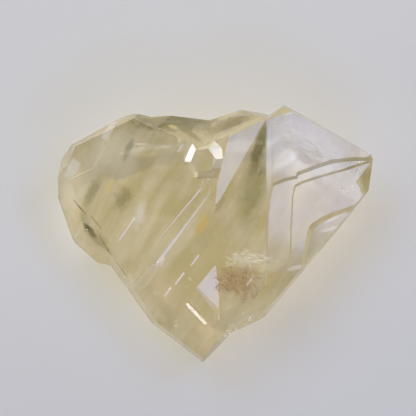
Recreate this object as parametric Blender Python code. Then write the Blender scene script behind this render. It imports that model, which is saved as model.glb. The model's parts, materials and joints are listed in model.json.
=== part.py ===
"""A heart-shaped twinned calcite crystal, lying on its back on a flat cleavage face.

Metres, +Z up. X runs across the heart, Y runs from its point to its notch, and Z is its depth. The origin is
under the middle of the crystal, on the surface that it rests on.

Each lobe is a block cut by flat crystal faces. The lobes are joined, and the notch, the growth steps and the
cleavage ledges are then cut from them.
"""

from math import cos, radians, sin

import bmesh
import bpy
from mathutils import Matrix, Vector

CRYSTAL_NAME = "calcite_crystal"
BLOCK = 0.4  # edge of the rough block that each lobe is cut from
ABOVE = 0.08  # a height clear above the crystal
UP = Vector((0, 0, 1))
MIDDLE = (0.00037, -0.00014)  # the middle of the cut crystal, which is moved over the origin

# The great front faces: height over the origin, and rise per metre along X and along Y.
LEFT_FACE = (0.0370, 0.18, 0.22)
TERRACE_FACE = (0.03687, 0.1765, 0.2157)
MIDDLE_FACE = (0.03669, 0.1822, 0.2231)
CENTRE_FACE = (0.03685, 0.05, 0.22)
RIGHT_FACE = (0.04505, -0.36, 0.22)
RIGHT_DROP = 0.0004  # how far the right lobe lies under the strip along the ridge
LEFT_DROP = 0.0002  # how far the left lobe lies under the centre face where it reaches it
TERRACE_DROP = 0.0003  # the same for the terrace

# Lobe outlines, clockwise from above. A row is a corner's x and y, then the side that starts there: the height
# of its widest line, and its lean inwards above and below that line, in degrees from upright.
LEFT_LOBE = [
    (-0.0462, -0.0113, 0.018, 32, 28),
    (-0.0558, -0.0029, 0.019, 34, 26),
    (-0.0600, 0.0085, 0.020, 24, 30),
    (-0.0628, 0.0169, 0.021, 20, 34),
    (-0.0624, 0.0218, 0.025, 24, 30),
    (-0.0582, 0.0342, 0.028, 20, 26),
    (-0.0430, 0.0433, 0.033, 20, 32),
    (-0.0350, 0.0469, 0.036, 20, 24),
    (0.0010, 0.0465, 0.031, 12, 24),
    (0.0100, 0.0340, 0.026, 0, 0),
    (0.0000, -0.0200, 0.020, 0, 0),
]
TERRACE_LOBE = [
    (-0.0330, -0.0214, 0.019, 24, 20),
    (-0.0420, -0.0110, 0.019, 0, 0),
    (-0.0200, 0.0300, 0.026, 0, 0),
    (0.0100, 0.0300, 0.026, 0, 0),
    (0.0100, -0.0100, 0.026, 0, 0),
]
MIDDLE_LOBE = [
    (-0.0043, -0.0508, 0.018, 14, 34),
    (-0.0246, -0.0352, 0.018, 18, 30),
    (-0.0405, -0.0131, 0.019, 0, 0),
    (-0.0300, 0.0300, 0.026, 0, 0),
    (-0.0100, 0.0420, 0.030, 20, 22),
    (0.0107, 0.0488, 0.031, 9, 26),
    (0.0213, 0.0468, 0.029, 4, 8),
    (0.0226, 0.0190, 0.028, 4, 8),
    (0.0206, -0.0250, 0.018, 14, 34),
]
RIGHT_LOBE = [
    (0.0197, -0.0332, 0.018, 20, 30),
    (0.0020, -0.0415, 0.018, 0, 0),
    (-0.0060, -0.0100, 0.022, 0, 0),
    (0.0060, 0.0360, 0.030, 0, 0),
    (0.0213, 0.0465, 0.033, 5, 24),
    (0.0274, 0.0509, 0.029, 7, 28),
    (0.0625, 0.0308, 0.027, 4, 8),
    (0.0627, 0.0278, 0.0215, 6, 30),
    (0.0610, 0.0169, 0.0205, 12, 28),
    (0.0446, -0.0038, 0.019, 10, 34),
]

# The lobes' rough undersides. They lie at four heights under the level that the crystal is cut to last.
LEFT_FLOOR = -0.0010
TERRACE_FLOOR = -0.0014
MIDDLE_FLOOR = -0.0005
RIGHT_FLOOR = -0.0018

# Growth steps on the left lobe: the lines that its front and the terrace's front end at, and the lean of their
# risers in degrees.
LEFT_STEP = ((0.0061, 0.0321), (-0.0350, -0.0185))
TERRACE_STEP = ((0.0110, 0.0326), (-0.0300, -0.0204))
STEP_LEAN = 75

# The face under the right lobe's low edge, through three points.
RIGHT_FOOT = ((0.0203, -0.0130, 0.0349), (0.0356, -0.0126, 0.0294), (0.0195, -0.0330, 0.0262))

# The wedge beside the notch, whose bright face falls towards the centre face.
WEDGE_FACE = ((0.0200, 0.0445, 0.0476), (-0.0011, 0.0083, 0.0387), (0.0031, 0.0365, 0.0483))
WEDGE = [
    (-0.0011, 0.0083, 0.041, 8, 0),
    (0.0016, 0.0225, 0.045, 8, 0),
    (0.0033, 0.0371, 0.044, 0, 0),
    (0.0196, 0.0446, 0.044, 0, 0),
    (0.0190, 0.0100, 0.044, 0, 0),
]
WEDGE_FLOOR = 0.030

# The six-sided hillock: where it stands on the left face, its radii at foot and top, and its height.
HILLOCK_AT = (-0.0027, 0.0288)
HILLOCK_FOOT = 0.0082
HILLOCK_TOP = 0.0050
HILLOCK_SHIFT = (-0.0011, 0.0002)  # how far its top sits off its middle
HILLOCK_HEIGHT = 0.0019
HILLOCK_SUNK = 0.0030  # how far its sides run on under the face
HILLOCK_TURN = 96  # degrees

# Growth strokes, cut along a line on a great face: the face, both ends of the line, the width, and the lean of
# the long facet in degrees from upright.
STROKES = [
    (LEFT_FACE, (-0.0374, -0.0022), (-0.0311, 0.0068), 0.0007, 75),
    (LEFT_FACE, (-0.0142, 0.0321), (-0.0122, 0.0351), 0.0007, 75),
    (MIDDLE_FACE, (-0.0093, -0.0119), (-0.0061, -0.0076), 0.0008, 75),
    (MIDDLE_FACE, (-0.0155, -0.0194), (-0.0120, -0.0147), 0.0007, 75),
    (MIDDLE_FACE, (-0.0196, -0.0238), (-0.0172, -0.0206), 0.0008, 75),
    (MIDDLE_FACE, (-0.0003, -0.0300), (0.0008, -0.0280), 0.0005, 75),
    (CENTRE_FACE, (0.0055, 0.0103), (0.0086, 0.0153), 0.0005, 78),
    (CENTRE_FACE, (0.0038, 0.0047), (0.0061, 0.0081), 0.0004, 78),
    (CENTRE_FACE, (0.0124, -0.0196), (0.0145, -0.0168), 0.0007, 74),
    (MIDDLE_FACE, (-0.0035, -0.0356), (-0.0112, -0.0274), 0.0016, 70),
]
STROKE_RISE = 0.004  # height of the cutter over its facet

# The re-entrant notch and its side bay: floors through points on the front and on the rim behind.
NOTCH_FLOORS = [
    ((-0.0311, 0.0448, 0.0413), (-0.0053, 0.0339, 0.0435), (-0.0043, 0.0460, 0.0310)),
    ((-0.0053, 0.0339, 0.0435), (0.0197, 0.0445, 0.0476), (0.0020, 0.0398, 0.0385)),
    ((0.0020, 0.0398, 0.0385), (0.0140, 0.0452, 0.0410), (0.0060, 0.0475, 0.0320)),
]
BAY_FLOORS = [
    ((-0.0311, 0.0448, 0.0413), (-0.0238, 0.0411, 0.0418), (-0.0260, 0.0470, 0.0330)),
    ((-0.0238, 0.0411, 0.0418), (-0.0150, 0.0414, 0.0434), (-0.0200, 0.0475, 0.0320)),
]

# Growth steps on the right face. Each is the line of its upper edge, its depth where y is 0, and how much it
# deepens per metre along Y. Its floor runs on to the crystal's edge.
RIGHT_STEPS = [
    ([(0.0720, 0.0290), (0.0548, 0.0287), (0.0471, 0.0279), (0.0412, 0.0261), (0.0329, 0.0230),
      (0.0325, 0.0218), (0.0275, 0.0206), (0.0230, 0.0188), (0.0217, 0.0133), (0.0211, 0.0075),
      (0.0208, -0.0120)], 0.0003, 0.032),
    ([(0.0640, 0.0290), (0.0499, 0.0245), (0.0412, 0.0221), (0.0345, 0.0199), (0.0318, 0.0185),
      (0.0314, 0.0172), (0.0307, 0.0133), (0.0302, -0.0006), (0.0300, -0.0200)], 0.0010, 0.034),
    ([(0.0680, 0.0140), (0.0541, 0.0092), (0.0482, 0.0072), (0.0434, 0.0052), (0.0406, 0.0033),
      (0.0383, 0.0013), (0.0368, -0.0061), (0.0356, -0.0140)], 0.0026, 0.020),
]
STEP_SLANT = Vector((-0.55, 0.75, 1.0))  # the way that the risers of these steps lean as they rise
FAR_RIGHT = (0.0900, -0.0400)

# A low terrace on the left lobe's upper left shoulder.
SHOULDER_STEP = [(-0.0372, 0.0480), (-0.0401, 0.0384), (-0.0469, 0.0262), (-0.0640, 0.0180)]
SHOULDER_DEPTH = 0.0006
SHOULDER_SLANT = Vector((0.5, -0.3, 1.0))
FAR_LEFT = (-0.0900, 0.0600)

# Facets cut within an outline: a floor through three points, the outline, and the slant of its walls.
SMALL_FACETS = {
    "hollow": (((-0.0073, -0.0209, 0.0292), (0.0005, -0.0115, 0.0330), (0.0013, -0.0331, 0.0247)),
               [(-0.0073, -0.0209), (0.0005, -0.0115), (0.0020, -0.0217), (0.0016, -0.0331),
                (-0.0015, -0.0283)],
               Vector((0.12, -0.10, 1.0))),
    "chipped end": (((0.0619, 0.0309, 0.0279), (0.0558, 0.0204, 0.0272), (0.0609, 0.0172, 0.0215)),
                    [(0.0640, 0.0330), (0.0610, 0.0302), (0.0578, 0.0262), (0.0556, 0.0205), (0.0572, 0.0186),
                     (0.0580, 0.0160), (0.0680, 0.0140), (0.0690, 0.0330)],
                    Vector((-0.10, 0.05, 1.0))),
}

# Small broken pits: centre's x and y, length, width, depth, and turn in degrees. Their floors are far narrower
# than their mouths.
PIT_NARROWING = 0.1
PITS = [
    (-0.0487, 0.0013, 0.0066, 0.0019, 0.0016, -48),
    (-0.0455, -0.0045, 0.0040, 0.0012, 0.0010, -50),
    (0.0008, 0.0113, 0.0050, 0.0014, 0.0010, 112),
    (-0.0180, -0.0105, 0.0026, 0.0018, 0.0009, -35),
]

# Cleavage ledges broken from the back and the sides: centre, size, and turns about X, Y and Z in degrees.
LEDGES = [
    ((-0.058, 0.030, -0.004), (0.030, 0.040, 0.024), (8, 12, 24)),
    ((0.060, 0.030, -0.002), (0.034, 0.036, 0.026), (-6, -14, -28)),
    ((0.033, -0.0195, 0.000), (0.040, 0.016, 0.024), (12, -6, 49)),
    ((-0.0325, -0.0245, 0.000), (0.036, 0.018, 0.022), (14, 8, -52)),
    ((0.004, 0.0405, 0.000), (0.036, 0.014, 0.030), (-10, 4, 6)),
    ((-0.030, 0.0375, 0.002), (0.030, 0.012, 0.022), (-14, 0, 8)),
]


def height_on(face, x, y):
    """The height of a great front face over a point."""
    return face[0] + face[1] * x + face[2] * y


def normal_of(face):
    """The upward normal of a great front face."""
    return Vector((-face[1], -face[2], 1)).normalized()


def plane_through(points):
    """A point on the plane through three points, and its upward normal."""
    a, b, c = (Vector(point) for point in points)
    normal = (b - a).cross(c - a).normalized()
    return a, normal if normal.z > 0 else -normal


def height_in_plane(points, x, y):
    """The height over a point of the plane through three points."""
    at, normal = plane_through(points)
    return at.z - (normal.x * (x - at.x) + normal.y * (y - at.y)) / normal.z


def cut_face(solid, point, normal):
    """Cut the solid flat through a point, keep what lies behind the normal, and close the cut."""
    everything = solid.verts[:] + solid.edges[:] + solid.faces[:]
    bmesh.ops.bisect_plane(solid, geom=everything, plane_co=point, plane_no=normal, clear_outer=True)
    rim = [edge for edge in solid.edges if edge.is_boundary]
    if rim:
        bmesh.ops.contextual_create(solid, geom=rim)


def rough_block(floor):
    """A block far larger than the crystal, standing on a floor height."""
    solid = bmesh.new()
    bmesh.ops.create_cube(solid, size=BLOCK)
    bmesh.ops.translate(solid, vec=(0, 0, floor + BLOCK / 2), verts=solid.verts)
    return solid


def finish(solid, name, collection):
    """Turn a bmesh into a named object in a collection."""
    bmesh.ops.recalc_face_normals(solid, faces=solid.faces)
    mesh = bpy.data.meshes.new(name)
    solid.to_mesh(mesh)
    solid.free()
    made = bpy.data.objects.new(name, mesh)
    collection.objects.link(made)
    return made


def cut_sides(solid, outline):
    """Cut an upper and a lower side face along each edge of an outline."""
    for here, after in zip(outline, outline[1:] + outline[:1]):
        x, y, widest, lean_above, lean_below = here
        along = Vector((after[0] - x, after[1] - y, 0)).normalized()
        out = Vector((-along.y, along.x, 0))
        above = radians(lean_above)
        below = radians(lean_below)
        cut_face(solid, (x, y, widest), out * cos(above) + UP * sin(above))
        if lean_above or lean_below:
            cut_face(solid, (x, y, widest), out * cos(below) - UP * sin(below))


def cut_step(solid, face, line, lean):
    """Cut the riser of a growth step that ends a front face along a line."""
    start, end = (Vector((x, y, height_on(face, x, y))) for x, y in line)
    along = (end - start).normalized()
    out = Vector((-along.y, along.x, 0)).normalized()
    slant = out * cos(radians(lean)) + UP * sin(radians(lean))
    cut_face(solid, start, slant - along * slant.dot(along))


def left_lobe(collection):
    solid = rough_block(LEFT_FLOOR)
    for face, drop in ((LEFT_FACE, 0), (CENTRE_FACE, LEFT_DROP)):
        cut_face(solid, (0, 0, face[0] - drop), normal_of(face))
    cut_step(solid, LEFT_FACE, LEFT_STEP, STEP_LEAN)
    cut_sides(solid, LEFT_LOBE)
    return finish(solid, "left lobe", collection)


def terrace_lobe(collection):
    solid = rough_block(TERRACE_FLOOR)
    for face, drop in ((TERRACE_FACE, 0), (CENTRE_FACE, TERRACE_DROP)):
        cut_face(solid, (0, 0, face[0] - drop), normal_of(face))
    cut_step(solid, TERRACE_FACE, TERRACE_STEP, STEP_LEAN)
    cut_sides(solid, TERRACE_LOBE)
    return finish(solid, "terrace lobe", collection)


def middle_lobe(collection):
    solid = rough_block(MIDDLE_FLOOR)
    for face in (MIDDLE_FACE, CENTRE_FACE, RIGHT_FACE):
        cut_face(solid, (0, 0, face[0]), normal_of(face))
    cut_sides(solid, MIDDLE_LOBE)
    return finish(solid, CRYSTAL_NAME, collection)


def right_lobe(collection):
    solid = rough_block(RIGHT_FLOOR)
    for face in (MIDDLE_FACE, CENTRE_FACE, RIGHT_FACE):
        cut_face(solid, (0, 0, face[0] - RIGHT_DROP), normal_of(face))
    cut_face(solid, *plane_through(RIGHT_FOOT))
    cut_sides(solid, RIGHT_LOBE)
    return finish(solid, "right lobe", collection)


def stroke_cutters(collection):
    """Shallow grooves: one long facet with the slant of the steps' risers, and a steep wall facing it."""
    made = []
    for number, (face, first, last, width, lean) in enumerate(STROKES, 1):
        end, start = (Vector((x, y, height_on(face, x, y))) for x, y in (first, last))
        along = (end - start).normalized()
        out = Vector((-along.y, along.x, 0)).normalized()
        slant = out * cos(radians(lean)) + UP * sin(radians(lean))
        normal = (slant - along * slant.dot(along)).normalized()
        across = along.cross(normal)
        across = across if across.dot(out) > 0 else -across
        solid = bmesh.new()
        bmesh.ops.create_cube(solid, size=1.0)
        bmesh.ops.scale(solid, vec=((end - start).length, width, STROKE_RISE), verts=solid.verts)
        turn = Matrix((along, across, normal)).transposed().to_4x4()
        centre = (start + end) / 2 + across * width / 2 + normal * STROKE_RISE / 2
        bmesh.ops.transform(solid, matrix=Matrix.Translation(centre) @ turn, verts=solid.verts)
        made.append(finish(solid, f"stroke {number}", collection))
    return made


def wedge(collection):
    solid = rough_block(WEDGE_FLOOR)
    cut_face(solid, *plane_through(WEDGE_FACE))
    cut_sides(solid, WEDGE)
    return finish(solid, "wedge", collection)


def hillock(collection):
    """A low six-sided frustum, square to the left face."""
    solid = bmesh.new()
    depth = HILLOCK_HEIGHT + HILLOCK_SUNK
    spread = (HILLOCK_FOOT - HILLOCK_TOP) * depth / HILLOCK_HEIGHT
    bmesh.ops.create_cone(solid, cap_ends=True, segments=6, radius1=HILLOCK_TOP + spread,
                          radius2=HILLOCK_TOP, depth=depth)
    bmesh.ops.translate(solid, vec=(0, 0, HILLOCK_HEIGHT - depth / 2), verts=solid.verts)
    turn = Matrix.Rotation(radians(HILLOCK_TURN), 4, "Z")
    bmesh.ops.transform(solid, matrix=turn, verts=solid.verts)
    top = [vert for vert in solid.verts if vert.co.z > 0]
    bmesh.ops.translate(solid, vec=(*HILLOCK_SHIFT, 0), verts=top)
    x, y = HILLOCK_AT
    tilt = UP.rotation_difference(normal_of(LEFT_FACE)).to_matrix().to_4x4()
    place = Matrix.Translation((x, y, height_on(LEFT_FACE, x, y)))
    bmesh.ops.transform(solid, matrix=place @ tilt, verts=solid.verts)
    return finish(solid, "hillock", collection)


def valley_cutter(name, floors, collection):
    """What lies above both of two floors that meet in a valley."""
    solid = bmesh.new()
    bmesh.ops.create_cube(solid, size=BLOCK)
    for floor in floors:
        at, normal = plane_through(floor)
        cut_face(solid, at, -normal)
    return finish(solid, name, collection)


def slanted_cutter(name, outline, floor_height, slant, collection):
    """An outline drawn on a floor and extruded along a slant, so that its walls lean."""
    solid = bmesh.new()
    corners = [solid.verts.new((x, y, floor_height(x, y))) for x, y in outline]
    floor = solid.faces.new(corners)
    wall = bmesh.ops.extrude_face_region(solid, geom=[floor])["geom"]
    top = [item for item in wall if isinstance(item, bmesh.types.BMVert)]
    bmesh.ops.translate(solid, vec=slant * ABOVE, verts=top)
    return finish(solid, name, collection)


def right_step_cutters(collection):
    made = []
    for number, (line, depth, deepening) in enumerate(RIGHT_STEPS, 1):
        low = line[-1]
        outline = line + [(low[0], FAR_RIGHT[1]), FAR_RIGHT, (FAR_RIGHT[0], line[0][1])]

        def floor_height(x, y, depth=depth, deepening=deepening):
            return height_on(RIGHT_FACE, x, y) - RIGHT_DROP - depth - deepening * y

        made.append(slanted_cutter(f"right step {number}", outline, floor_height, STEP_SLANT, collection))
    return made


def shoulder_cutter(collection):
    outline = SHOULDER_STEP + [(FAR_LEFT[0], SHOULDER_STEP[-1][1]), FAR_LEFT]

    def floor_height(x, y):
        return height_on(LEFT_FACE, x, y) - SHOULDER_DEPTH

    return slanted_cutter("shoulder step", outline, floor_height, SHOULDER_SLANT, collection)


def small_facet_cutters(collection):
    made = []
    for name, (floor, outline, slant) in SMALL_FACETS.items():
        def floor_height(x, y, floor=floor):
            return height_in_plane(floor, x, y)

        made.append(slanted_cutter(name, outline, floor_height, slant, collection))
    return made


def pit_cutters(collection):
    """Small ridge-shaped troughs pressed into the left face."""
    made = []
    for number, (x, y, length, width, depth, turn) in enumerate(PITS, 1):
        solid = bmesh.new()
        bmesh.ops.create_cone(solid, cap_ends=True, segments=4, radius1=PIT_NARROWING,
                              radius2=1.0, depth=2.0)
        bmesh.ops.scale(solid, vec=(length / 2, width / 2, depth), verts=solid.verts)
        spin = Matrix.Rotation(radians(turn), 4, "Z")
        place = Matrix.Translation((x, y, height_on(LEFT_FACE, x, y)))
        bmesh.ops.transform(solid, matrix=place @ spin, verts=solid.verts)
        made.append(finish(solid, f"pit {number}", collection))
    return made


def ledge_cutters(collection):
    made = []
    for number, (centre, size, turns) in enumerate(LEDGES, 1):
        solid = bmesh.new()
        bmesh.ops.create_cube(solid, size=1.0)
        bmesh.ops.scale(solid, vec=size, verts=solid.verts)
        turn = Matrix.Identity(4)
        for angle, axis in zip(turns, "XYZ"):
            turn = Matrix.Rotation(radians(angle), 4, axis) @ turn
        bmesh.ops.transform(solid, matrix=Matrix.Translation(centre) @ turn, verts=solid.verts)
        made.append(finish(solid, f"ledge {number}", collection))
    return made


def level_cutter(collection):
    """What lies under the level that the crystal rests on."""
    solid = bmesh.new()
    bmesh.ops.create_cube(solid, size=BLOCK)
    bmesh.ops.translate(solid, vec=(0, 0, -BLOCK / 2), verts=solid.verts)
    return finish(solid, "level", collection)


def make_collections():
    shown = bpy.data.collections.new("calcite specimen")
    cutters = bpy.data.collections.new("cutters")
    for collection in (shown, cutters):
        bpy.context.scene.collection.children.link(collection)
    return shown, cutters


def apply_tool(target, tool, operation):
    """Join the tool to the target, or cut it away, with an exact Boolean modifier."""
    tool.hide_render = True
    tool.display_type = "WIRE"
    step = target.modifiers.new(f"{operation.lower()} {tool.name}", "BOOLEAN")
    step.operation = operation
    step.solver = "EXACT"
    step.object = tool


def calcite_material():
    material = bpy.data.materials.new("honey calcite")
    material.use_nodes = True
    shader = material.node_tree.nodes["Principled BSDF"]
    shader.inputs["Base Color"].default_value = (0.48, 0.42, 0.21, 1)
    shader.inputs["Roughness"].default_value = 0.08
    shader.inputs["Metallic"].default_value = 0.0
    shader.inputs["IOR"].default_value = 1.6
    shader.inputs["Transmission Weight"].default_value = 0.6
    return material


def main():
    for old in list(bpy.data.objects):
        bpy.data.objects.remove(old, do_unlink=True)
    shown, cutters = make_collections()
    place = bpy.data.objects.new("place", None)
    place.location = (-MIDDLE[0], -MIDDLE[1], 0)
    cutters.objects.link(place)
    crystal = middle_lobe(shown)
    for make in (left_lobe, terrace_lobe, right_lobe, wedge, hillock):
        apply_tool(crystal, make(cutters), "UNION")
    tools = right_step_cutters(cutters)
    tools.append(valley_cutter("notch", NOTCH_FLOORS, cutters))
    tools.append(valley_cutter("bay", BAY_FLOORS, cutters))
    tools.append(shoulder_cutter(cutters))
    tools += small_facet_cutters(cutters)
    tools += stroke_cutters(cutters)
    tools += pit_cutters(cutters)
    tools += ledge_cutters(cutters)
    tools.append(level_cutter(cutters))
    for tool in tools:
        apply_tool(crystal, tool, "DIFFERENCE")
    for item in shown.objects[:] + cutters.objects[:]:
        if item != place:
            item.parent = place
    crystal.data.materials.append(calcite_material())


main()
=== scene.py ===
"""Dresses the calcite specimen: a clear, honey-yellow, milky twin, lying on a pale floor in studio light."""

import json
from math import cos, pi, radians, sin, sqrt
from random import Random

import bpy
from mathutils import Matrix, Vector

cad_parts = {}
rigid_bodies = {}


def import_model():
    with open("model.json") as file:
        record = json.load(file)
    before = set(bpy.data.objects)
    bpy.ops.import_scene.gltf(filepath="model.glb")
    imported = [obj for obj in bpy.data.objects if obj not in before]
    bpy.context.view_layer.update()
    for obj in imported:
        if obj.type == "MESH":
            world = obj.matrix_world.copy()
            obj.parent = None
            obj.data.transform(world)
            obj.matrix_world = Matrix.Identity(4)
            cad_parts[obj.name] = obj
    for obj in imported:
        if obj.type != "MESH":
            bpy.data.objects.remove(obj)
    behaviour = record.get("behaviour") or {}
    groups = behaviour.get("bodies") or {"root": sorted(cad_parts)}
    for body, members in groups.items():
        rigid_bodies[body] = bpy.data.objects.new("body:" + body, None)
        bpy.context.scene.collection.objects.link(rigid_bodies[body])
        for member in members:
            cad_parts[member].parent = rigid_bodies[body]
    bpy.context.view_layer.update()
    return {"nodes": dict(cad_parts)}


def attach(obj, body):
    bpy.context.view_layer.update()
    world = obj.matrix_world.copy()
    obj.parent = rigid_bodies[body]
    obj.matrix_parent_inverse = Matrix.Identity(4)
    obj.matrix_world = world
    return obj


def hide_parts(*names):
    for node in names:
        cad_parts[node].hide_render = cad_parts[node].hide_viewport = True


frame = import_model()
SPECIMEN = "calcite_crystal"

# The photograph's frame: its width at the crystal's widest line, and the point that it is centred on.
FRAME_WIDTH = 0.1646
BELT_HEIGHT = 0.020
VIEW_DISTANCE = 0.80
VIEW_CENTRE = (-0.0027, 0.0105)
SENSOR = 36.0
CLIP_START = 0.05

# The crystal's mesh: corners this near are one, and faces this near in angle are one. The sharper edges are
# rounded a little.
WELD = 0.00001
SAME_FACE = radians(0.5)
SHARP_EDGE = radians(8)
EDGE_ROUNDING = 0.00028
EDGE_SEGMENTS = 2

# The great front faces: height over the origin, and rise per metre along X and along Y. The front is the
# lowest of them at each point.
FRONT_FACES = [
    (0.0370, 0.18, 0.22),
    (0.0368, 0.05, 0.22),
    (0.0444, -0.36, 0.22),
    (0.0480, -0.371, 0.450),
]

# Clear calcite, and the light that it lets through to the floor.
CALCITE_IOR = 1.6
TRANSMISSION = 0.62
ABSORPTION_COLOUR = (0.88, 0.84, 0.60, 1)
ABSORPTION_DENSITY = 15.0
SHADOW_COLOUR = (0.86, 0.80, 0.58, 1)

# The two colours of the body, and how much cloud and streak makes it honey or milky.
HONEY = (0.62, 0.565, 0.362)
MILKY = (0.78, 0.735, 0.60)
MILKINESS = (0.80, 1.22)

# Faces whose normal's Z is under the first number are sides and risers, and over the second they are fronts.
STEEP = (0.60, 0.70)

# Painted light on the risers of the growth steps and the other steep sides, to make them pale: colour,
# strength, and the X and the Z over which it comes to its full strength, with the share that it has below it.
RISER_LIGHT = (0.78, 0.73, 0.57)
RISER_LIGHT_STRENGTH = 0.55
RISER_LIGHT_FROM_X = (0.0175, 0.0200, 0.25)
RISER_LIGHT_FROM_Z = (0.0220, 0.0260, 0.50)

# Noise of the clouds, and of the growth grain before it is drawn out.
CLOUDS = {"Scale": 38.0, "Detail": 5.0, "Roughness": 0.55, "Distortion": 0.5}
GRAIN_NOISE = {"Scale": 1.0, "Detail": 3.0, "Roughness": 0.6}

# Growth grain: the turn of its lines, and its fineness along and across them.
STREAKS = {"Turn": radians(58), "Along": 26.0, "Across": 150.0}
FINE_GRAIN = {"Turn": radians(51), "Along": 90.0, "Across": 600.0}
WRINKLES = {"Turn": radians(-20), "Along": 190.0, "Across": 460.0}

# Growth layers on the sides: fineness along X, Y and Z, and noise.
LAYERS = (40.0, 40.0, 420.0)
LAYER_NOISE = {"Scale": 1.0, "Detail": 3.0, "Roughness": 0.55}

# The wrinkled place near the top of the right face: centre, half the length, width and depth, and the turn.
# Then the heights between which the wrinkles get painted highlights on their crests, and the highlights'
# colour and strength.
WRINKLED = ((0.037, 0.034, 0.038), (0.020, 0.007, 0.02), -32)
CREST_HIGHLIGHT_HEIGHTS = (0.50, 0.66)
CREST_HIGHLIGHT_COLOUR = (0.98, 0.98, 1.0)
CREST_HIGHLIGHT_STRENGTH = 0.70

# Relief of the surface: the share of each kind, and the strength and depth of the whole.
GRAIN_RELIEF = 0.25
WRINKLE_RELIEF = 3.0
LAYER_RELIEF = 2.0
RELIEF_STRENGTH = 0.12
RELIEF_DEPTH = 0.0004

# Roughness: the range of grain that changes it, its least and most on fresh faces, and its most on dull ones.
GRAIN_RANGE = (0.35, 0.7)
FRESH_ROUGHNESS = (0.05, 0.12)
DULL_ROUGHNESS = 0.9

# The ragged edge of a patch: its noise, and how far raggedness moves it.
RAG_NOISE = {"Scale": 320.0, "Detail": 6.0, "Roughness": 0.68}
RAG_REACH = 4.0
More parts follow.
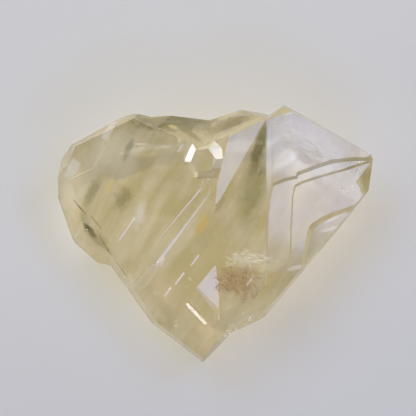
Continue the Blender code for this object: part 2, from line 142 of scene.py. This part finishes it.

# Patches of colour in the milky body, under the front, each over the ones before it: marks of the body, and
# painted shade, painted highlights and painted reflections. A row is a centre's x and y, half the length,
# width and depth, the turn in degrees, softness, raggedness, squareness, colour and strength.
MARKS_AND_PAINTED_LIGHT = [
    # Pale and warm clouds.
    (-0.0405, 0.0330, 0.0150, 0.0110, 0.050, 40, 0.9, 0.20, 0.0, (0.96, 0.94, 0.84), 0.75),
    (-0.0560, 0.0180, 0.0190, 0.0080, 0.050, 80, 0.8, 0.20, 0.0, (0.96, 0.90, 0.72), 0.85),
    (-0.0190, -0.0230, 0.0150, 0.0110, 0.045, -45, 0.9, 0.20, 0.0, (0.80, 0.69, 0.58), 0.50),
    (-0.0040, -0.0400, 0.0150, 0.0120, 0.045, -45, 0.9, 0.20, 0.0, (0.86, 0.75, 0.58), 0.60),
    # Dark smudges, a honey streak and a painted soft white reflection on the left lobe.
    (-0.0357, 0.0144, 0.0076, 0.0044, 0.006, 55, 0.8, 0.35, 0.0, (0.25, 0.25, 0.16), 0.62),
    (-0.0335, 0.0330, 0.0062, 0.0018, 0.006, 65, 0.7, 0.30, 0.0, (0.26, 0.26, 0.20), 0.60),
    (-0.0479, 0.0168, 0.0088, 0.0028, 0.006, 60, 0.8, 0.35, 0.0, (0.26, 0.25, 0.16), 0.65),
    (-0.0412, 0.0187, 0.0058, 0.0014, 0.006, 62, 0.7, 0.30, 0.0, (0.85, 0.70, 0.24), 0.55),
    (-0.0291, 0.0078, 0.0085, 0.0030, 0.006, 70, 0.9, 0.25, 0.0, (0.95, 0.96, 1.00), 0.95),
    # Painted glints on small facets at the left lobe's edge, and a thin pale line there.
    (-0.0556, 0.0255, 0.0048, 0.0024, 0.008, 62, 0.4, 0.10, 0.9, (0.99, 0.99, 1.00), 0.95),
    (-0.0410, 0.0408, 0.0050, 0.0015, 0.010, 62, 0.3, 0.05, 0.8, (0.99, 0.99, 1.00), 0.95),
    (-0.0449, 0.0323, 0.0068, 0.0003, 0.008, 66, 0.5, 0.02, 1.0, (0.90, 0.90, 0.92), 0.60),
    # Painted glints on the bright facets of the hillock.
    (-0.0102, 0.0314, 0.0030, 0.0010, 0.008, 60, 0.2, 0.03, 1.0, (0.93, 0.93, 1.00), 0.90),
    (0.0011, 0.0296, 0.0042, 0.0021, 0.008, 92, 0.2, 0.03, 1.0, (0.88, 0.88, 0.96), 0.80),
    # Amber and pale streaks under the wedge facet.
    (-0.0050, 0.0043, 0.0068, 0.0028, 0.006, 68, 0.8, 0.25, 0.0, (0.84, 0.62, 0.20), 0.70),
    (-0.0097, 0.0001, 0.0044, 0.0014, 0.006, 60, 0.7, 0.30, 0.0, (0.86, 0.84, 0.74), 0.55),
    # Ground of the brown veil and of the white crackle, and shade on the broken edge.
    (0.0092, -0.0184, 0.0098, 0.0080, 0.007, -8, 0.7, 0.60, 0.5, (0.42, 0.25, 0.14), 0.62),
    (0.0140, -0.0094, 0.0105, 0.0040, 0.006, 4, 1.0, 1.20, 0.0, (0.90, 0.91, 0.88), 0.50),
    (0.0024, 0.0126, 0.0072, 0.0013, 0.006, 60, 0.6, 0.50, 0.0, (0.22, 0.19, 0.11), 0.40),
    # The dark pit and the shade around it, and the dark chip at the right end.
    (-0.0489, 0.0017, 0.0038, 0.0014, 0.004, -48, 0.5, 0.40, 0.0, (0.03, 0.03, 0.02), 0.92),
    (-0.0465, -0.0015, 0.0080, 0.0044, 0.006, -45, 0.8, 0.30, 0.0, (0.34, 0.31, 0.19), 0.50),
    (0.0600, 0.0220, 0.0060, 0.0034, 0.008, 80, 0.5, 0.20, 0.0, (0.42, 0.38, 0.16), 0.70),
    # Shade in the notch.
    (-0.0130, 0.0440, 0.0240, 0.0054, 0.024, 0, 0.6, 0.20, 0.0, (0.18, 0.17, 0.09), 0.90),
    (0.0060, 0.0436, 0.0130, 0.0040, 0.024, 26, 0.6, 0.20, 0.0, (0.20, 0.165, 0.09), 0.85),
    (-0.0110, 0.0405, 0.0090, 0.0018, 0.022, -38, 0.5, 0.20, 0.0, (0.30, 0.27, 0.15), 0.60),
    # Dark lines along the left lobe's lower edge.
    (-0.0530, 0.0110, 0.0052, 0.0005, 0.010, -48, 0.6, 0.10, 0.0, (0.24, 0.20, 0.10), 0.75),
    (-0.0465, 0.0050, 0.0048, 0.0004, 0.010, -52, 0.6, 0.10, 0.0, (0.24, 0.20, 0.10), 0.70),
    (-0.0430, -0.0040, 0.0060, 0.0005, 0.010, -58, 0.6, 0.10, 0.0, (0.28, 0.23, 0.12), 0.70),
    (-0.0370, -0.0130, 0.0060, 0.0005, 0.010, -52, 0.6, 0.10, 0.0, (0.30, 0.25, 0.14), 0.60),
    # The edge of the wedge facet, and two spots in the notch.
    (0.0140, 0.0340, 0.0130, 0.0009, 0.008, 65.6, 0.4, 0.05, 1.0, (0.70, 0.67, 0.52), 0.50),
    (-0.0161, 0.0418, 0.0030, 0.0012, 0.012, -20, 0.5, 0.20, 0.0, (0.92, 0.86, 0.48), 0.70),
    (-0.0277, 0.0445, 0.0040, 0.0016, 0.012, -30, 0.6, 0.20, 0.0, (0.34, 0.26, 0.14), 0.60),
    # A painted highlight band under the third growth step, and a painted pale sheen on the top of the right
    # face.
    (0.0451, 0.0022, 0.0050, 0.0010, 0.006, 14, 0.5, 0.10, 0.3, (0.98, 0.98, 1.00), 0.95),
    (0.0365, 0.0325, 0.0270, 0.0175, 0.014, -32, 0.7, 0.15, 0.0, (0.92, 0.93, 1.00), 0.85),
    # The dark triangle beside the ridge.
    (0.0150, 0.0190, 0.0270, 0.0070, 0.008, 78, 0.8, 0.15, 0.0, (0.24, 0.25, 0.13), 0.70),
    (0.0168, 0.0335, 0.0140, 0.0030, 0.008, 74, 0.7, 0.10, 0.0, (0.12, 0.13, 0.06), 0.75),
    # A painted glint on a chip of a growth step, and soft shade on the right face.
    (-0.0207, -0.0105, 0.0026, 0.0009, 0.006, 62, 0.4, 0.10, 0.5, (0.98, 0.98, 1.00), 0.95),
    (0.0400, 0.0080, 0.0160, 0.0090, 0.012, 20, 0.9, 0.15, 0.0, (0.54, 0.50, 0.42), 0.35),
    (0.0262, 0.0321, 0.0055, 0.0040, 0.012, 90, 0.4, 0.20, 0.6, (0.64, 0.59, 0.50), 0.40),
    # The painted bright strip beside the ridge, the hillock's foot and the last painted bright bands.
    (0.0207, 0.0270, 0.0189, 0.0014, 0.010, 90, 0.6, 0.05, 0.0, (0.94, 0.94, 1.00), 0.65),
    (-0.0042, 0.0234, 0.0050, 0.0013, 0.010, 0, 0.4, 0.05, 1.0, (0.96, 0.90, 0.68), 0.90),
    (0.0316, -0.0128, 0.0042, 0.0011, 0.006, 14, 0.5, 0.15, 0.3, (0.97, 0.97, 1.00), 0.90),
    (0.0478, 0.0071, 0.0067, 0.0009, 0.006, 26, 0.5, 0.10, 0.3, (0.98, 0.98, 1.00), 0.95),
]

# Painted pale sheen of reflected light under the right face, the wedge facet and the hollow near the tip: the
# way the face looks, the cosines where the sheen starts and is full, its colour and its strength.
PAINTED_SHEENS = [
    ((0.343, -0.210, 0.916), 0.985, 0.995, (0.66, 0.635, 0.60), 0.55),
    ((0.200, -0.342, 0.917), 0.990, 0.996, (0.62, 0.61, 0.62), 0.60),
    ((-0.022, -0.359, 0.933), 0.992, 0.997, (0.68, 0.66, 0.90), 0.75),
]

# Places without gloss or painted sheen: centre's x and y, half the length, width and depth, and the turn in
# degrees.
# Then how soft and how ragged their edges are, and those of the wrinkled place.
DULL = [
    (-0.0275, -0.0175, 0.0150, 0.0034, 0.006, 51),
    (-0.0043, 0.0199, 0.0040, 0.0012, 0.006, 51),
    (0.0020, 0.0121, 0.0072, 0.0016, 0.006, 60),
]
SOFT_EDGE = 0.9
SLIGHT_RAG = 0.1

# Flakes inside the calcite: name, centres, depth, half spread, number, size, thickness, colour, roughness
# and seed.
FLAKES = [
    ("brown_veil", [(0.0088, -0.0185)], 0.0016, (0.0088, 0.0070, 0.0016), 420, 0.00030, 0.00008,
     (0.34, 0.17, 0.08), 0.5, 3),
    ("white_crackle", [(0.0125, -0.0096), (0.0100, -0.0090), (0.0210, -0.0105)], 0.0014,
     (0.0086, 0.0036, 0.0010), 210, 0.00040, 0.00006, (0.95, 0.95, 0.93), 0.25, 5),
    # White flakes just under the front, standing in for painted glints of light.
    ("sparkles", [(-0.0211, -0.0231), (-0.0160, -0.0334), (-0.0195, -0.0212), (0.0030, -0.0190),
                  (-0.0110, -0.0180), (-0.0205, -0.0100), (0.0055, -0.0374), (0.0140, -0.0310),
                  (0.0030, 0.0060), (0.0150, 0.0060), (-0.0270, -0.0080), (-0.0330, -0.0150),
                  (0.0545, 0.0262), (0.0520, 0.0190)], 0.0006,
     (0.0034, 0.0030, 0.0006), 150, 0.00036, 0.00006, (1.0, 1.0, 1.0), 0.2, 13),
]

# Each flake: its sides, the ranges of its size, tilt and width, and the share of its thickness that its
# corners are moved by.
FLAKE_SIDES = 6
FLAKE_SIZES = (0.4, 1.3)
FLAKE_TILTS = (-0.6, 0.6)
FLAKE_WIDTHS = (0.35, 0.9)
FLAKE_UNEVENNESS = 0.4

FLOOR_SIZE = 6.0
FLOOR_HEIGHT = -0.0002
FLOOR_COLOUR = (0.66, 0.655, 0.64)
FLOOR_ROUGHNESS = 0.6

SKY_COLOUR = (0.80, 0.82, 0.88, 1)
SKY_STRENGTH = 0.10

# Soft rectangular lamps, most of them where a face of the crystal reflects them to the camera: name, place,
# size, watts, colour and the spread of the beam in degrees. All aim at one point in the crystal.
LAMPS = [
    ("face light", (0.705, -0.212, 0.705), (0.25, 0.25), 0.92, (0.54, 0.61, 1.0), 180),
    ("step light", (0.19, -0.66, 0.76), (0.60, 0.32), 2.3, (0.70, 0.74, 1.0), 180),
    ("strip light", (0.50, 0.47, 0.82), (0.26, 0.26), 2.2, (0.88, 0.88, 1.0), 180),
    ("left light", (-0.84, -0.32, 0.48), (0.40, 0.30), 1.6, (0.90, 0.90, 1.0), 180),
    ("left glint", (-0.60, 0.085, 0.075), (0.18, 0.13), 0.040, (0.95, 0.96, 1.0), 35),
    ("right glint", (0.51, 0.22, 0.87), (0.18, 0.18), 0.8, (0.90, 0.92, 1.0), 180),
    ("key", (-0.55, 0.75, 1.1), (0.7, 0.7), 8.9, (1.0, 0.975, 0.93), 180),
    ("rim", (0.0, 1.0, 0.30), (1.2, 0.3), 1.8, (1.0, 1.0, 1.0), 180),
]
LAMP_AIM = (0, 0, 0.035)


def deselect_all():
    """Go to object mode, with nothing selected."""
    if bpy.context.mode != "OBJECT":
        bpy.ops.object.mode_set(mode="OBJECT")
    bpy.ops.object.select_all(action="DESELECT")


def select_only(thing):
    """Select one object, and make it the active one."""
    deselect_all()
    thing.select_set(True)
    bpy.context.view_layer.objects.active = thing


def front_height(x, y):
    """The height of the crystal's front over a point."""
    return min(face[0] + face[1] * x + face[2] * y for face in FRONT_FACES)


def join(tree, value, socket):
    """Give a socket a number or a vector, or link another node's output to it."""
    if isinstance(value, (int, float, tuple)):
        socket.default_value = value
    else:
        tree.links.new(value, socket)


def node(tree, kind, at, **inputs):
    """Add a shader node at a place, and set its inputs by name."""
    made = tree.nodes.new(kind)
    made.location = at
    for name, value in inputs.items():
        made.inputs[name.replace("_", " ")].default_value = value
    return made


def maths(tree, operation, at, first, second=0.0):
    """Add a Math node whose inputs are numbers or other nodes' outputs."""
    made = node(tree, "ShaderNodeMath", at)
    made.operation = operation
    join(tree, first, made.inputs[0])
    join(tree, second, made.inputs[1])
    return made.outputs[0]


def vector_maths(tree, operation, at, first, second=(0.0, 0.0, 0.0)):
    """Add a Vector Math node, and give the output that its operation fills."""
    made = node(tree, "ShaderNodeVectorMath", at)
    made.operation = operation
    join(tree, first, made.inputs[0])
    join(tree, second, made.inputs[1])
    return made.outputs["Value" if operation in ("LENGTH", "DOT_PRODUCT") else "Vector"]


def split(tree, at, vector):
    """Split a vector into X, Y and Z."""
    made = node(tree, "ShaderNodeSeparateXYZ", at)
    tree.links.new(vector, made.inputs[0])
    return made.outputs


def ramp(tree, at, value, low, high, to_low=0.0, to_high=1.0):
    """Add a smooth Map Range node."""
    made = node(tree, "ShaderNodeMapRange", at)
    made.interpolation_type = "SMOOTHSTEP"
    tree.links.new(value, made.inputs["Value"])
    for name, number in (("From Min", low), ("From Max", high), ("To Min", to_low), ("To Max", to_high)):
        join(tree, number, made.inputs[name])
    return made.outputs["Result"]


def noise(tree, at, vector, **inputs):
    """Add a Noise Texture node."""
    made = node(tree, "ShaderNodeTexNoise", at, **inputs)
    tree.links.new(vector, made.inputs["Vector"])
    return made.outputs["Fac"]


def turn_back(tree, at, vector, angle):
    """Turn a vector back about Z by an angle."""
    back = maths(tree, "MULTIPLY", (at[0] - 180, at[1] - 180), angle, -1.0)
    made = node(tree, "ShaderNodeVectorRotate", at)
    made.rotation_type = "Z_AXIS"
    tree.links.new(vector, made.inputs["Vector"])
    tree.links.new(back, made.inputs["Angle"])
    return made.outputs[0]


def mix_colour(tree, at, mask, below, above, strength=1.0):
    """Lay one colour over another by a mask."""
    made = node(tree, "ShaderNodeMix", at)
    made.data_type = "RGBA"
    factor = maths(tree, "MULTIPLY", (at[0] - 180, at[1] - 60), mask, strength)
    tree.links.new(factor, made.inputs[0])
    for socket, colour in ((made.inputs[6], below), (made.inputs[7], above)):
        join(tree, (*colour, 1) if isinstance(colour, tuple) else colour, socket)
    return made.outputs[2]


def new_group(name, inputs, outputs):
    """Start a shader node group with named sockets."""
    tree = bpy.data.node_groups.new(name, "ShaderNodeTree")
    for socket, kind in inputs:
        tree.interface.new_socket(socket, in_out="INPUT", socket_type=f"NodeSocket{kind}")
    for socket, kind in outputs:
        tree.interface.new_socket(socket, in_out="OUTPUT", socket_type=f"NodeSocket{kind}")
    start = node(tree, "NodeGroupInput", (-900, 0))
    end = node(tree, "NodeGroupOutput", (900, 0))
    return tree, start, end


def patch_group():
    """A soft, ragged spot: 1 at its middle, 0 outside."""
    tree, start, end = new_group(
        "soft patch",
        [("Position", "Vector"), ("Centre", "Vector"), ("Half Size", "Vector"), ("Turn", "Float"),
         ("Softness", "Float"), ("Raggedness", "Float"), ("Squareness", "Float")],
        [("Mask", "Float")])
    given = start.outputs
    away = vector_maths(tree, "SUBTRACT", (-700, 100), given["Position"], given["Centre"])
    turned = turn_back(tree, (-520, 100), away, given["Turn"])
    sized = vector_maths(tree, "DIVIDE", (-340, 100), turned, given["Half Size"])
    length = vector_maths(tree, "LENGTH", (-160, 100), sized)
    sides = split(tree, (-20, 300), vector_maths(tree, "ABSOLUTE", (-160, 300), sized))
    widest = maths(tree, "MAXIMUM", (120, 300), sides["X"], sides["Y"])
    widest = maths(tree, "MAXIMUM", (260, 300), widest, sides["Z"])
    blend = node(tree, "ShaderNodeMix", (400, 300))
    tree.links.new(given["Squareness"], blend.inputs[0])
    tree.links.new(length, blend.inputs[2])
    tree.links.new(widest, blend.inputs[3])
    rough = noise(tree, (-340, -140), given["Position"], **RAG_NOISE)
    wave = maths(tree, "SUBTRACT", (-160, -140), rough, 0.5)
    wave = maths(tree, "MULTIPLY", (20, -140), wave, given["Raggedness"])
    wave = maths(tree, "MULTIPLY", (200, -140), wave, RAG_REACH)
    distance = maths(tree, "ADD", (400, 100), blend.outputs[0], wave)
    inner = maths(tree, "SUBTRACT", (200, 260), 1.0, given["Softness"])
    mask = ramp(tree, (500, 100), distance, inner, 1.0, 1.0, 0.0)
    tree.links.new(mask, end.inputs["Mask"])
    return tree


def grain_group():
    """Fine parallel growth grain along one direction: a height between 0 and 1."""
    tree, start, end = new_group(
        "growth grain",
        [("Position", "Vector"), ("Turn", "Float"), ("Along", "Float"), ("Across", "Float")],
        [("Height", "Float")])
    turned = turn_back(tree, (-600, 0), start.outputs["Position"], start.outputs["Turn"])
    scale = node(tree, "ShaderNodeCombineXYZ", (-600, -200))
    for axis, fineness in (("X", "Along"), ("Y", "Across"), ("Z", "Along")):
        tree.links.new(start.outputs[fineness], scale.inputs[axis])
    spread = vector_maths(tree, "MULTIPLY", (-400, 0), turned, scale.outputs[0])
    height = noise(tree, (-200, 0), spread, **GRAIN_NOISE)
    tree.links.new(height, end.inputs["Height"])
    return tree


def place_group(tree, group, at, position, **inputs):
    """Place a node group, joined to the position and with its inputs set by name."""
    made = tree.nodes.new("ShaderNodeGroup")
    made.node_tree = group
    made.location = at
    tree.links.new(position, made.inputs["Position"])
    for name, value in inputs.items():
        made.inputs[name.replace("_", " ")].default_value = value
    return made.outputs[0]


def place_patch(tree, patch, at, position, centre, half_size, turn,
                soft=SOFT_EDGE, rag=SLIGHT_RAG, square=0.0):
    """Place one patch, turned by degrees. A centre without a height lies on the crystal's front."""
    if len(centre) == 2:
        centre = (*centre, front_height(*centre))
    return place_group(tree, patch, at, position, Centre=centre, Half_Size=half_size, Turn=radians(turn),
                       Softness=soft, Raggedness=rag, Squareness=square)


def body_colour(tree, position, grain):
    """Honey to milky clouds, in streaks."""
    broad = noise(tree, (-1900, 900), position, **CLOUDS)
    streaks = place_group(tree, grain, (-1900, 650), position, **STREAKS)
    both = maths(tree, "ADD", (-1720, 760), broad, streaks)
    milkiness = ramp(tree, (-1600, 900), both, *MILKINESS)
    return mix_colour(tree, (-1450, 900), milkiness, HONEY, MILKY)


def dull_places(tree, position, patch):
    """The places without gloss or painted sheen, as a mask."""
    dull = 0.0
    for number, (x, y, length, width, depth, turn) in enumerate(DULL):
        across = -900 + 200 * number
        spot = place_patch(tree, patch, (across, -900), position, (x, y), (length, width, depth), turn)
        dull = maths(tree, "MAXIMUM", (across + 200, -1050), spot, dull)
    return dull


def lay_painted_sheens(tree, normal, dull, colour):
    """Paint the pale sheen of reflected light under the faces that look its way, but not in the dull places.
    """
    fresh = maths(tree, "SUBTRACT", (200, -1050), 1.0, dull)
    for number, (direction, start, full, tint, strength) in enumerate(PAINTED_SHEENS):
        down = -150 * number - 150
        facing = vector_maths(tree, "DOT_PRODUCT", (-1700, down), normal, direction)
        mask = ramp(tree, (-1500, down), facing, start, full)
        mask = maths(tree, "MULTIPLY", (-1350, down), mask, fresh)
        colour = mix_colour(tree, (-1250 + 170 * number, 900), mask, colour, tint, strength)
    return colour


def lay_marks_and_painted_light(tree, position, patch, colour):
    """Lay the patches of colour and of painted light over each other, in the order of their rows."""
    for number, (x, y, length, width, depth, turn, soft, rag, square, tint, strength) in enumerate(MARKS_AND_PAINTED_LIGHT):
        across = -700 + 190 * number
        mask = place_patch(tree, patch, (across, 500), position, (x, y), (length, width, depth), turn,
                           soft, rag, square)
        colour = mix_colour(tree, (across + 150, 900), mask, colour, tint, strength)
    return colour


def lay_riser_light(tree, position, steep, colour):
    """Painted light: make the risers pale, fully on the front right of the ridge, less to its left and lower
    down.
    """
    place = split(tree, (-1900, -700), position)
    (x_low, x_high, left_share), (z_low, z_high, low_share) = RISER_LIGHT_FROM_X, RISER_LIGHT_FROM_Z
    beside = ramp(tree, (-1700, -700), place["X"], x_low, x_high, left_share, 1.0)
    upper = ramp(tree, (-1700, -900), place["Z"], z_low, z_high, low_share, 1.0)
    pale = maths(tree, "MULTIPLY", (-1500, -800), beside, upper)
    pale = maths(tree, "MULTIPLY", (-1350, -800), pale, steep)
    return mix_colour(tree, (2300, 900), pale, colour, RISER_LIGHT, RISER_LIGHT_STRENGTH)


def relief(tree, position, steep, fine, wrinkles):
    """The surface's relief: grain and wrinkles on the fronts, and growth layers on the sides."""
    height = maths(tree, "MULTIPLY", (-1200, -300), fine, GRAIN_RELIEF)
    wrinkled = maths(tree, "MULTIPLY", (-1050, -600), wrinkles, WRINKLE_RELIEF)
    height = maths(tree, "ADD", (-1000, -400), height, wrinkled)
    flat = maths(tree, "SUBTRACT", (-1000, -250), 1.0, steep)
    height = maths(tree, "MULTIPLY", (-800, -400), height, flat)
    layers = node(tree, "ShaderNodeMapping", (-1500, -1150), Scale=LAYERS)
    tree.links.new(position, layers.inputs["Vector"])
    ledges = noise(tree, (-1300, -1150), layers.outputs["Vector"], **LAYER_NOISE)
    side_height = maths(tree, "MULTIPLY", (-1100, -1150), ledges, steep)
    side_height = maths(tree, "MULTIPLY", (-950, -1150), side_height, LAYER_RELIEF)
    height = maths(tree, "ADD", (-700, -500), height, side_height)
    bump = node(tree, "ShaderNodeBump", (2100, -300), Strength=RELIEF_STRENGTH, Distance=RELIEF_DEPTH)
    tree.links.new(height, bump.inputs["Height"])
    return bump.outputs["Normal"]


def calcite_material(patch, grain):
    """Clear, milky honey-yellow calcite, with its patches and painted light, painted sheens, growth grain and
    dull places.
    """
    material = bpy.data.materials.new("honey calcite")
    material.use_nodes = True
    tree = material.node_tree
    shader = tree.nodes["Principled BSDF"]
    shader.location = (2400, 200)
    output = tree.nodes["Material Output"]
    output.location = (3100, 200)
    coordinates = node(tree, "ShaderNodeTexCoord", (-2300, 300))
    position, normal = coordinates.outputs["Object"], coordinates.outputs["Normal"]
    steep = ramp(tree, (-1700, 0), split(tree, (-1900, 0), normal)["Z"], *STEEP, 1.0, 0.0)
    dull = dull_places(tree, position, patch)
    fine = place_group(tree, grain, (-1500, -300), position, **FINE_GRAIN)
    wrinkle = place_group(tree, grain, (-1500, -500), position, **WRINKLES)
    near_top = place_patch(tree, patch, (-1500, -700), position, *WRINKLED)

    colour = body_colour(tree, position, grain)
    # Painted sheen of reflected light on the faces that look its way.
    colour = lay_painted_sheens(tree, normal, dull, colour)
    # Patches of colour, with painted shade, highlights and reflections among them.
    colour = lay_marks_and_painted_light(tree, position, patch, colour)
    # Painted light on the risers and other steep sides.
    colour = lay_riser_light(tree, position, steep, colour)
    # Painted highlights on the crests of the wrinkles near the top of the right face.
    crest_highlights = ramp(tree, (-1200, -750), wrinkle, *CREST_HIGHLIGHT_HEIGHTS)
    crest_highlights = maths(tree, "MULTIPLY", (-1050, -750), crest_highlights, near_top)
    colour = mix_colour(tree, (2250, 900), crest_highlights, colour, CREST_HIGHLIGHT_COLOUR, CREST_HIGHLIGHT_STRENGTH)
    tree.links.new(colour, shader.inputs["Base Color"])

    wrinkles = maths(tree, "MULTIPLY", (-1200, -600), wrinkle, near_top)
    tree.links.new(relief(tree, position, steep, fine, wrinkles), shader.inputs["Normal"])
    rough = ramp(tree, (-1000, -700), fine, *GRAIN_RANGE, *FRESH_ROUGHNESS)
    worn = maths(tree, "MULTIPLY", (400, -1050), dull, DULL_ROUGHNESS)
    rough = maths(tree, "MAXIMUM", (600, -700), rough, worn)
    tree.links.new(rough, shader.inputs["Roughness"])

    shader.inputs["IOR"].default_value = CALCITE_IOR
    shader.inputs["Transmission Weight"].default_value = TRANSMISSION
    absorb = node(tree, "ShaderNodeVolumeAbsorption", (2700, -100), Color=ABSORPTION_COLOUR,
                  Density=ABSORPTION_DENSITY)
    tree.links.new(absorb.outputs["Volume"], output.inputs["Volume"])
    clear = node(tree, "ShaderNodeBsdfTransparent", (2700, 500), Color=SHADOW_COLOUR)
    path = node(tree, "ShaderNodeLightPath", (2400, 800))
    mix = node(tree, "ShaderNodeMixShader", (2900, 300))
    tree.links.new(path.outputs["Is Shadow Ray"], mix.inputs[0])
    tree.links.new(shader.outputs["BSDF"], mix.inputs[1])
    tree.links.new(clear.outputs["BSDF"], mix.inputs[2])
    tree.links.new(mix.outputs["Shader"], output.inputs["Surface"])
    return material


def plain_material(name, colour, roughness):
    """A material of one colour."""
    material = bpy.data.materials.new(name)
    material.use_nodes = True
    shader = material.node_tree.nodes["Principled BSDF"]
    shader.inputs["Base Color"].default_value = (*colour, 1)
    shader.inputs["Roughness"].default_value = roughness
    return material


def make_crystal():
    """The crystal's own faces, welded and with lightly rounded edges."""
    source = frame["nodes"][SPECIMEN]
    select_only(source)
    bpy.ops.object.duplicate()
    crystal = bpy.context.view_layer.objects.active
    crystal.name = "calcite_faces"
    select_only(crystal)
    bpy.ops.object.parent_clear(type="CLEAR_KEEP_TRANSFORM")
    bpy.ops.object.mode_set(mode="EDIT")
    bpy.ops.mesh.select_all(action="SELECT")
    bpy.ops.mesh.remove_doubles(threshold=WELD)
    bpy.ops.mesh.dissolve_limited(angle_limit=SAME_FACE)
    bpy.ops.mesh.normals_make_consistent(inside=False)
    bpy.ops.object.mode_set(mode="OBJECT")
    bevel = crystal.modifiers.new("worn edges", "BEVEL")
    bevel.width = EDGE_ROUNDING
    bevel.segments = EDGE_SEGMENTS
    bevel.limit_method = "ANGLE"
    bevel.angle_limit = SHARP_EDGE
    bevel.use_clamp_overlap = True
    bpy.ops.object.modifier_apply(modifier=bevel.name)
    crystal.data.materials.clear()
    crystal.data.materials.append(calcite_material(patch_group(), grain_group()))
    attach(crystal, "root")
    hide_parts(SPECIMEN)


def make_flakes(name, middles, depth, spread, count, size, thickness, colour, roughness, seed):
    """Thin, slightly uneven flakes scattered in the calcite under a front face."""
    chance = Random(seed)
    mesh = bpy.data.meshes.new(name)
    made = bpy.data.objects.new(name, mesh)
    bpy.context.scene.collection.objects.link(made)
    select_only(made)
    bpy.ops.object.mode_set(mode="EDIT")
    for number in range(count):
        middle = middles[number % len(middles)]
        angle = chance.uniform(0, 2 * pi)
        away = sqrt(chance.random())
        x = middle[0] + away * cos(angle) * spread[0]
        y = middle[1] + away * sin(angle) * spread[1]
        z = front_height(x, y) - depth - chance.random() * spread[2]
        wide = size * chance.uniform(*FLAKE_SIZES)
        turns = (chance.uniform(*FLAKE_TILTS), chance.uniform(*FLAKE_TILTS), angle)
        bpy.ops.mesh.primitive_cylinder_add(
            vertices=FLAKE_SIDES, radius=wide, depth=thickness, location=(x, y, z), rotation=turns,
            scale=(1.0, chance.uniform(*FLAKE_WIDTHS), 1.0))
    bpy.ops.mesh.select_all(action="SELECT")
    bpy.ops.transform.vertex_random(offset=FLAKE_UNEVENNESS * thickness, seed=seed, wait_for_input=False)
    bpy.ops.object.mode_set(mode="OBJECT")
    made.data.materials.append(plain_material(name.replace("_", " "), colour, roughness))
    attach(made, "root")


def make_floor():
    """A wide, pale floor, just under the crystal."""
    deselect_all()
    bpy.ops.mesh.primitive_plane_add(size=FLOOR_SIZE, location=(0, 0, FLOOR_HEIGHT))
    floor = bpy.context.view_layer.objects.active
    floor.name = "floor"
    floor.data.materials.append(plain_material("pale floor", FLOOR_COLOUR, FLOOR_ROUGHNESS))


def make_panel(name, at, size, watts, tint, spread):
    """A soft rectangular lamp that faces the crystal."""
    lamp = bpy.data.lights.new(name, "AREA")
    lamp.shape = "RECTANGLE"
    lamp.size, lamp.size_y = size
    lamp.energy = watts
    lamp.color = tint
    lamp.spread = radians(spread)
    made = bpy.data.objects.new(name, lamp)
    made.location = at
    made.rotation_euler = (Vector(at) - Vector(LAMP_AIM)).to_track_quat("Z", "Y").to_euler()
    made.visible_camera = False
    bpy.context.scene.collection.objects.link(made)


def make_light():
    """A dim studio, and the lamps that each light or glint on a face of the crystal."""
    world = bpy.data.worlds.new("studio")
    world.use_nodes = True
    sky = world.node_tree.nodes["Background"]
    sky.inputs["Color"].default_value = SKY_COLOUR
    sky.inputs["Strength"].default_value = SKY_STRENGTH
    bpy.context.scene.world = world
    for lamp in LAMPS:
        make_panel(*lamp)


def make_camera():
    """A camera straight over the crystal, framed as the photograph is."""
    camera = bpy.data.cameras.new("camera")
    camera.sensor_width = SENSOR
    camera.lens = SENSOR * VIEW_DISTANCE / FRAME_WIDTH
    camera.clip_start = CLIP_START
    made = bpy.data.objects.new("camera", camera)
    made.location = (VIEW_CENTRE[0], VIEW_CENTRE[1], BELT_HEIGHT + VIEW_DISTANCE)
    bpy.context.scene.collection.objects.link(made)
    bpy.context.scene.camera = made


bpy.context.scene.view_settings.view_transform = "Standard"
make_camera()
make_light()
make_floor()
make_crystal()
for flakes in FLAKES:
    make_flakes(*flakes)
